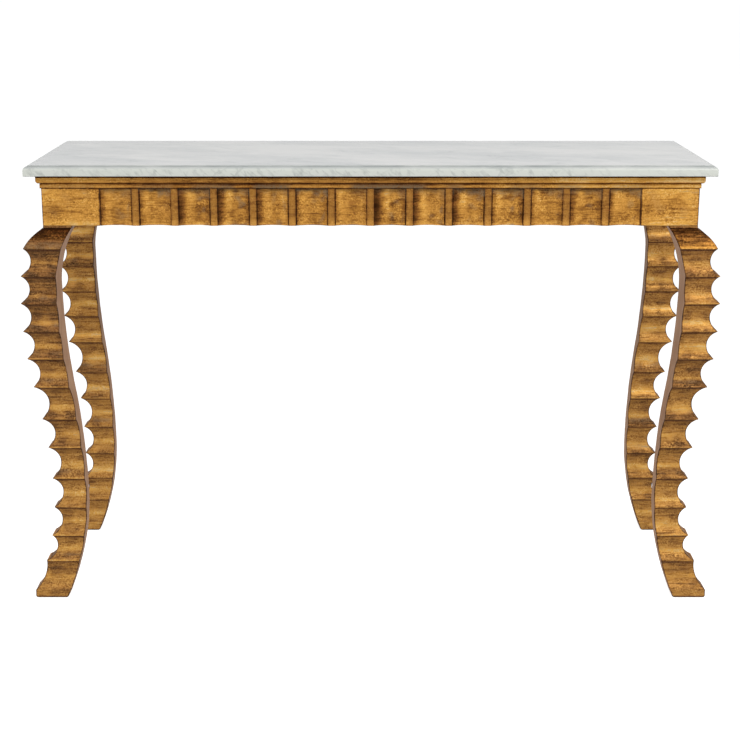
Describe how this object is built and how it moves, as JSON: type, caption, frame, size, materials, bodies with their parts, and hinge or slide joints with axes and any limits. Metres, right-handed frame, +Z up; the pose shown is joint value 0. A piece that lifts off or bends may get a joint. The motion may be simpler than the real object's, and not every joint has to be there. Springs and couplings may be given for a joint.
{
  "type": "console table",
  "caption": "Gilded wood console table with a marble slab top, coved frieze and scalloped cabriole legs.",
  "frame": {"origin": "on the floor, under the middle of the table's outline", "axes": "+X to the viewer's right along the table's width, -Y out of the front, +Z up"},
  "size_m": [1.416, 0.4436, 0.914],
  "materials": {
    "marble": "polished white marble with soft grey veins",
    "gilded_wood": "rubbed antique gold leaf on carved wood",
    "bare_wood": "stained, not gilded",
    "dowel_wood": "plain beech",
    "screw_steel": "zinc plated",
    "clear_pad": "clear soft bumper"
  },
  "bodies": {
    "root": {"marble_top": "marble", "slab_pads": "clear_pad", "cornice_front": "gilded_wood", "cornice_left": "gilded_wood", "cornice_right": "gilded_wood", "cornice_back": "bare_wood", "bearer_left": "bare_wood", "bearer_right": "bare_wood", "mitre_keys": "dowel_wood", "frame_dowels": "dowel_wood", "cornice_screws": "screw_steel", "frieze_front": "gilded_wood", "frieze_left": "gilded_wood", "frieze_right": "gilded_wood", "frieze_back": "bare_wood", "block_front_left": "gilded_wood", "block_front_right": "gilded_wood", "block_back_left": "gilded_wood", "block_back_right": "gilded_wood", "rail_dowels": "dowel_wood", "leg_front_left": "gilded_wood", "leg_front_right": "gilded_wood", "leg_back_left": "gilded_wood", "leg_back_right": "gilded_wood", "leg_dowels": "dowel_wood"}
  },
  "joints": []
}
